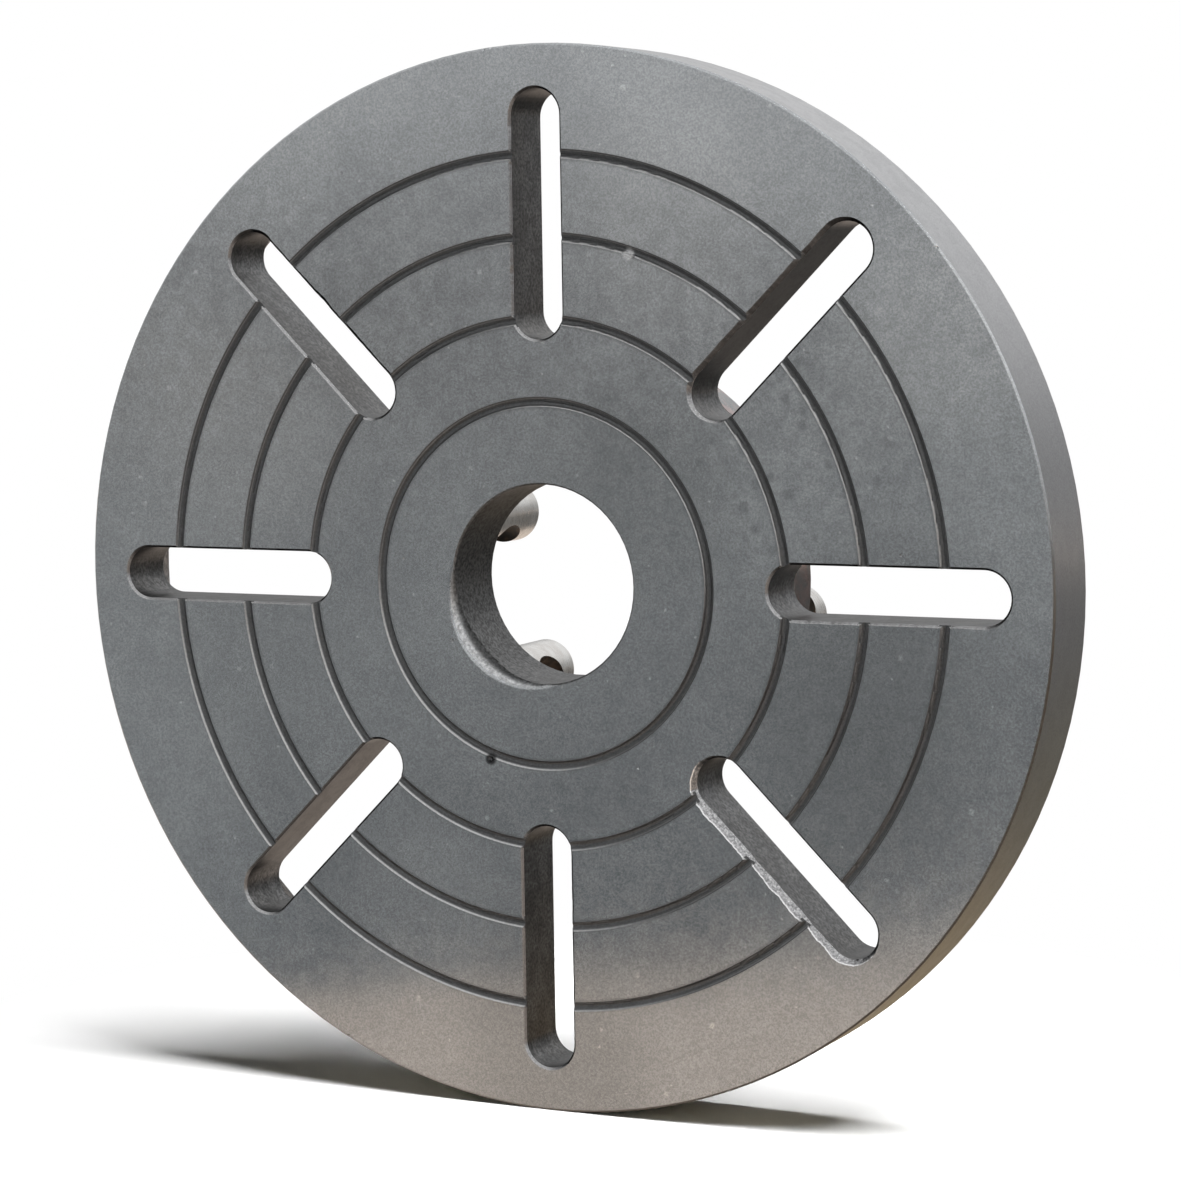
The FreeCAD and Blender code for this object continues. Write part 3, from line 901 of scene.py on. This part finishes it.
# The ground face: colours, and places with the distances where each stain ends and is full
GROUND_GREY = (0.330, 0.342, 0.350, 1)
CLOUD_DARK = (0.285, 0.296, 0.305, 1)
SPOT_PALE = (0.47, 0.478, 0.482, 1)
BLOTCH_DARK = (0.215, 0.225, 0.230, 1)
SMEAR_PLACE = (0.070, FACE_Y, 0.045)
SMEAR_REACH = (0.068, 0.020)
DRIED_PLACE = (0.105, FACE_Y, 0.085)
DRIED_REACH = (0.070, 0.025)
OILED_PLACES = (
    # (place, far and close distance)
    ((0.032, FACE_Y, 0.030), 0.045, 0.012),
    ((0.110, FACE_Y, -0.034), 0.065, 0.015),
    ((0.000, FACE_Y, -0.152), 0.050, 0.012),
)
HAZE_PLACES = (
    # (place, far and close distance)
    ((0.044, FACE_Y, 0.106), 0.050, 0.012),
    ((-0.100, FACE_Y, 0.040), 0.050, 0.012),
    ((-0.042, FACE_Y, -0.103), 0.040, 0.012),
    ((0.130, FACE_Y, 0.075), 0.045, 0.012),
)
OUTER_BAND = (0.112, 0.150)
OUTER_SHARE = (1.0, 1.17)
# The slot whose file chattered, where the burr is bare
SLOT_MIDDLE = 110 * MM
CHATTERED_ANGLE = math.radians(FILED_SLOTS[0][0])
CHATTERED_SLOT = Vector((math.cos(CHATTERED_ANGLE), 0, math.sin(CHATTERED_ANGLE))) * SLOT_MIDDLE
CHATTERED_REACH = (0.075, 0.060)
CHATTERED_LEAST = 0.12
# The other kinds of surface: colours, and the heights between which each change of colour grows
RIM_GREY = (0.290, 0.292, 0.302, 1)
# A painted warm reflection of the table, growing towards the rim's foot
RIM_WARM_REFLECTION = (0.300, 0.275, 0.215, 1)
RIM_REFLECTION_HEIGHTS = (0.0, -0.060)
MILLED_GREY = (0.112, 0.114, 0.117, 1)
MILLED_BROWN = (0.084, 0.082, 0.080, 1)
BORE_GREY = (0.092, 0.093, 0.094, 1)
# Painted shade: the bore is darker towards its top
BORE_TOP_SHADE = (0.078, 0.080, 0.080, 1)
# Worn bare metal at the bore's mouth, kept pale only low down, where it is a painted highlight too
WORN_AND_HIGHLIGHT_PALE = (0.43, 0.435, 0.44, 1)
WORN_HIGHLIGHT_HEIGHTS = (6 * MM, -4 * MM)
# Dims the bore's reflections towards its top, a painted shade
BORE_SHADE_TINT = (0.50, 0.49, 0.47, 1)
BORE_SHADE_HEIGHTS = (-0.004, 0.024)
FILED_DULL = (0.135, 0.135, 0.138, 1)
# Bare metal, and also the painted highlight on filed edges that face the light
BARE_AND_HIGHLIGHT = (0.66, 0.66, 0.665, 1)
# Painted shade in the rings' grooves and on the face beside them
RING_SHADE = (0.098, 0.100, 0.102, 1)
# Painted shade on the outer front edge, growing towards its foot
EDGE_SHADE = (0.075, 0.068, 0.060, 1)
EDGE_SHADE_HEIGHTS = (0.07, -0.02)
# Painted highlight on the rings' lips that face the light
LIP_HIGHLIGHT = (0.46, 0.46, 0.46, 1)
# The way towards the light, for painted highlights on edges that face it and painted shade on those that
# face away, and how far towards it each one has to turn
LIT_WAY = (0.60, 0.0, 0.80)
LIT_LIP = (0.30, 0.62)
LIT_EDGE = (0.35, 0.70)
SHADED_EDGE = (-0.25, 0.20)
# Two nicks that stand out, and the cast skin
PALE_NICK = (0.0300, FACE_Y, 0.0978)
DARK_NICK = (-0.0183, FACE_Y, -0.0534)
NICK_REACH = (2.3 * MM, 1.2 * MM)
NICK_DARK = (0.022, 0.022, 0.022, 1)
CAST_GREY = (0.200, 0.197, 0.194, 1)
CAST_BROWN = (0.215, 0.170, 0.140, 1)
RUST_PINK = (0.26, 0.17, 0.16, 1)
METALLIC = 0.95
CAST_LESS_METALLIC = 0.65
PLATE_ROUGHNESS = (0.16, 0.21)
# Bump heights, in tenths of a millimetre
BUMP_UNIT = 0.1 * MM
TURNED_BUMP = 0.03
GRAIN_BUMP = 0.04
SAND_BUMP = 9.0
FILED_BUMP = 0.7

# %% Material: cast iron of the plate
iron, tree = new_look("ground cast iron")
place = put(tree, "ShaderNodeTexCoord").outputs["Object"]
facing = put(tree, "ShaderNodeNewGeometry").outputs["True Normal"]
mask = use_group(tree, zones, place, facing)
wide = use_group(tree, clouds, place, *WIDE_CLOUDS)["Amount"]
patchy = use_group(tree, clouds, place, *PATCHES)["Amount"]
fine = use_group(tree, grain, place, FINE_MM)["Amount"]
coarse = use_group(tree, grain, place, COARSE_MM)["Amount"]
sand = use_group(tree, grain, place, SAND_MM)["Amount"]
dots = use_group(tree, spots, place, *DOTS)["Amount"]
specks = use_group(tree, spots, place, *SPECKS)["Amount"]
blotches = use_group(tree, spots, place, *BLOTCHES)["Amount"]
turning = use_group(tree, marks, place, mask["Radius"], TURNING_PITCH_MM)["Amount"]
heights = parts(tree, place)["Z"]
faces_up = parts(tree, facing)["Z"]
# How far each surface turns towards the light, for the painted highlights and painted shade
toward_light = put(tree, "ShaderNodeVectorMath", {0: facing, 1: LIT_WAY}, operation="DOT_PRODUCT").outputs["Value"]


def near(spot, far, close, least=0.0):
    """How near the place is to a spot: the least from the far distance on, and 1 within the close one."""
    return ramp(tree, distance(tree, place, spot), far, close, least, 1.0)


def near_any(spots_given):
    """How near the place is to any of some spots."""
    amount = near(*spots_given[0])
    for spot in spots_given[1:]:
        amount = calc(tree, "ADD", amount, near(*spot))
    return amount


def laid_on(colour, layers):
    """A colour with layers over it, each given as where it lies, how strongly, and its own colour."""
    for where, strength, layer in layers:
        if strength < 1.0:
            where = calc(tree, "MULTIPLY", where, strength)
        colour = tint(tree, where, colour, layer)
    return colour


smeared = near(SMEAR_PLACE, *SMEAR_REACH)
dried = near(DRIED_PLACE, *DRIED_REACH)
chattered = near(CHATTERED_SLOT, *CHATTERED_REACH, CHATTERED_LEAST)

# The ground face, with its clouds, stains and spots
ground = laid_on(tint(tree, wide, CLOUD_DARK, GROUND_GREY), (
    (both(tree, patchy, plus(tree, 0.09, smeared, 0.16)), 1.0, SPOT_PALE),
    (both(tree, blotches, plus(tree, 0.05, smeared, 0.55)), 1.0, BLOTCH_DARK),
    (near_any(OILED_PLACES), 0.5, BLOTCH_DARK),
    (near_any(HAZE_PLACES), 0.4, SPOT_PALE),
    (dots, 0.58, SPOT_PALE),
    (both(tree, specks, plus(tree, 0.80, dried, 0.20)), 1.0, SPOT_PALE),
))
ground = scaled(tree, ground, ramp(tree, mask["Radius"], *OUTER_BAND, *OUTER_SHARE))

# The slot walls, mottled, with painted shade where they face down or straight up
mottled_and_shaded = both(tree, ramp(tree, patchy, 0.0, 1.0, 0.80, 1.25), ramp(tree, coarse, *NOISE_SPAN, 0.55, 1.55))
mottled_and_shaded = both(tree, mottled_and_shaded, ramp(tree, faces_up, -0.70, 0.0, 0.36, 1.0),
               ramp(tree, faces_up, 0.75, 1.0, 1.0, 0.4))
milled = scaled(tree, tint(tree, wide, MILLED_BROWN, MILLED_GREY), mottled_and_shaded)

# The bore, with painted shade towards its top, and the worn edge at its mouth, pale only low down: worn
# metal and a painted highlight
bored = tint(tree, ramp(tree, heights, *BORE_SHADE_HEIGHTS), BORE_GREY, BORE_TOP_SHADE)
bored = scaled(tree, bored, ramp(tree, coarse, *NOISE_SPAN, 0.45, 1.65))
rubbed_and_highlit = scaled(tree, WORN_AND_HIGHLIGHT_PALE[:3], ramp(tree, coarse, *NOISE_SPAN, 0.68, 1.30))

# The filed edges of the slots, bare where the file chattered, with a painted highlight where they face the
# light and painted shade where they face away
scratched = calc(tree, "MULTIPLY", ramp(tree, fine, 0.40, 0.62), 0.20)
bare = both(tree, calc(tree, "MAXIMUM", mask["Burr"], scratched), chattered)
worked = tint(tree, bare, FILED_DULL, BARE_AND_HIGHLIGHT)
rough = blend(tree, chattered, 0.30, ramp(tree, coarse, 0.35, 0.65, 0.14, 0.44))
worked = tint(tree, both(tree, ramp(tree, toward_light, *LIT_EDGE), rough), worked, BARE_AND_HIGHLIGHT)
worked = scaled(tree, worked, ramp(tree, toward_light, *SHADED_EDGE, 0.15, 1.0))

# The rings' lips, with painted shade and a painted highlight where they face the light, the rim with a
# painted warm reflection towards its foot, the cast skin and the rusty side of the hub
lip = tint(tree, ramp(tree, toward_light, *LIT_LIP), RING_SHADE, LIP_HIGHLIGHT)
rim = tint(tree, ramp(tree, heights, *RIM_REFLECTION_HEIGHTS), RIM_GREY, RIM_WARM_REFLECTION)
browned = calc(tree, "MULTIPLY", calc(tree, "ADD", patchy, wide), 0.35)
skin = scaled(tree, tint(tree, browned, CAST_GREY, CAST_BROWN), ramp(tree, sand, *NOISE_SPAN, 0.70, 1.25))
rusty = tint(tree, patchy, RUST_PINK, MILLED_GREY)

# Each kind of surface laid over the ground face
colour = laid_on(ground, (
    # Painted shade on the face beside the rings
    (mask["By ring"], 0.35, RING_SHADE),
    (mask["Rim"], 1.0, rim),
    # Painted shade on the outer front edge towards its foot
    (both(tree, mask["Edge"], ramp(tree, heights, *EDGE_SHADE_HEIGHTS)), 1.0, EDGE_SHADE),
    (mask["Slot"], 1.0, milled),
    # The worn mouth, pale only low down: worn metal and a painted highlight
    (both(tree, mask["Worn"], ramp(tree, heights, *WORN_HIGHLIGHT_HEIGHTS)), 1.0, rubbed_and_highlit),
    (mask["Bore"], 1.0, bored),
    (mask["Hub side"], 0.8, rusty),
    (mask["Filed"], 1.0, worked),
    (mask["Ring"], 1.0, RING_SHADE),
    (mask["Lip"], 1.0, lip),
    (mask["Cast"], 1.0, skin),
    (near(PALE_NICK, *NICK_REACH), 0.7, BARE_AND_HIGHLIGHT),
    (near(DARK_NICK, *NICK_REACH), 0.9, NICK_DARK),
))
colour = scaled(tree, colour, ramp(tree, fine, *NOISE_SPAN, 0.83, 1.16))

# How rough each surface is, and its bumps
roughness = ramp(tree, patchy, 0.0, 1.0, *PLATE_ROUGHNESS)
for where, rougher in (
    (mask["Slot"], 0.22),
    (mask["Bore"], 0.28),
    (mask["Worn"], 0.20),
    (calc(tree, "MAXIMUM", mask["Ring"], mask["Lip"]), 0.35),
    (mask["Rim"], 0.12),
    (mask["Cast"], 0.45),
):
    roughness = plus(tree, roughness, where, rougher)
metal = calc(tree, "SUBTRACT", METALLIC, calc(tree, "MULTIPLY", mask["Cast"], CAST_LESS_METALLIC))
height = calc(tree, "MULTIPLY", both(tree, turning, outside(tree, mask["Slot"])), TURNED_BUMP)
height = plus(tree, height, fine, GRAIN_BUMP)
height = plus(tree, height, both(tree, sand, mask["Cast"]), SAND_BUMP)
height = plus(tree, height, both(tree, fine, mask["Filed"]), FILED_BUMP)
bump = put(tree, "ShaderNodeBump", {"Strength": 0.5, "Distance": BUMP_UNIT, "Height": height}).outputs[0]
# Painted shade: the bore's reflections are dimmed towards its top
bore_shade = both(tree, mask["Bore"], ramp(tree, heights, *BORE_SHADE_HEIGHTS))
edge_tint = tint(tree, bore_shade, (1, 1, 1, 1), BORE_SHADE_TINT)
show(tree, put(tree, "ShaderNodeBsdfPrincipled", {
    "Base Color": colour, "Roughness": roughness, "Metallic": metal, "Specular Tint": edge_tint,
    "Normal": bump}).outputs[0])


# %% Helpers for the three steels
def steel_patterns(tree, cloud_mm, softness, grain_mm):
    """The places on a piece, with clouds and fine grain over them."""
    place = put(tree, "ShaderNodeTexCoord").outputs["Object"]
    patchy = use_group(tree, clouds, place, cloud_mm, softness)["Amount"]
    fine = use_group(tree, grain, place, grain_mm)["Amount"]
    return place, patchy, fine


def show_steel(tree, colour, roughness, metallic, strength, depth, height):
    """Makes a bumpy steel the surface of a material."""
    sockets = {"Strength": strength, "Distance": depth, "Height": height}
    bump = put(tree, "ShaderNodeBump", sockets).outputs[0]
    show(tree, put(tree, "ShaderNodeBsdfPrincipled", {
        "Base Color": colour, "Roughness": roughness, "Metallic": metallic, "Normal": bump}).outputs[0])


# %% Material: bright steel of the studs
STUD_GREY = (0.62, 0.615, 0.60, 1)
STUD_RUST = (0.16, 0.085, 0.045, 1)
DRAWN_LINES = (0.15, 1.0, 0.15)
DRAWN_SCALE = 2200.0

stud_steel, dirty_steel = stud_looks
stud_steel.use_nodes = True
tree = stud_steel.node_tree
tree.nodes.clear()
place, patchy, fine = steel_patterns(tree, cloud_mm=6.0, softness=0.10, grain_mm=0.3)
along = put(tree, "ShaderNodeMapping", {"Vector": place, "Scale": DRAWN_LINES}).outputs[0]
lines = noise(tree, along, DRAWN_SCALE, 2.0)[0]
colour = tint(tree, calc(tree, "MULTIPLY", patchy, 0.18), STUD_GREY, STUD_RUST)
roughness = ramp(tree, lines, *NOISE_SPAN, 0.24, 0.36)
show_steel(tree, colour, roughness, metallic=1.0, strength=0.35, depth=0.05 * MM,
           height=calc(tree, "ADD", lines, fine))

# %% Material: oil and rust in the notches
NOTCH_DARK = (0.024, 0.020, 0.017, 1)
NOTCH_RUST = (0.075, 0.046, 0.028, 1)

dirty_steel.use_nodes = True
tree = dirty_steel.node_tree
tree.nodes.clear()
place, patchy, fine = steel_patterns(tree, cloud_mm=3.0, softness=0.10, grain_mm=0.4)
colour = tint(tree, calc(tree, "MULTIPLY", patchy, 0.7), NOTCH_DARK, NOTCH_RUST)
show_steel(tree, colour, roughness=0.5, metallic=0.6, strength=0.5, depth=0.1 * MM, height=fine)

# %% Material: black oxide of the locking screws
SCREW_BLACK = (0.035, 0.034, 0.036, 1)
SCREW_WORN = (0.14, 0.135, 0.13, 1)

screw_steel, tree = new_look("black oxide steel")
place, patchy, fine = steel_patterns(tree, cloud_mm=3.0, softness=0.12, grain_mm=0.25)
colour = tint(tree, calc(tree, "MULTIPLY", patchy, 0.5), SCREW_BLACK, SCREW_WORN)
show_steel(tree, colour, roughness=0.42, metallic=0.8, strength=0.3, depth=0.05 * MM, height=fine)


# %% Dress the pieces
def dress(piece, look):
    """Gives a piece one material."""
    piece.data.materials.clear()
    piece.data.materials.append(look)


dress(plate, iron)
for screw in screws:
    dress(screw, screw_steel)

# %% Picture settings
bpy.context.scene.view_settings.view_transform = "Standard"
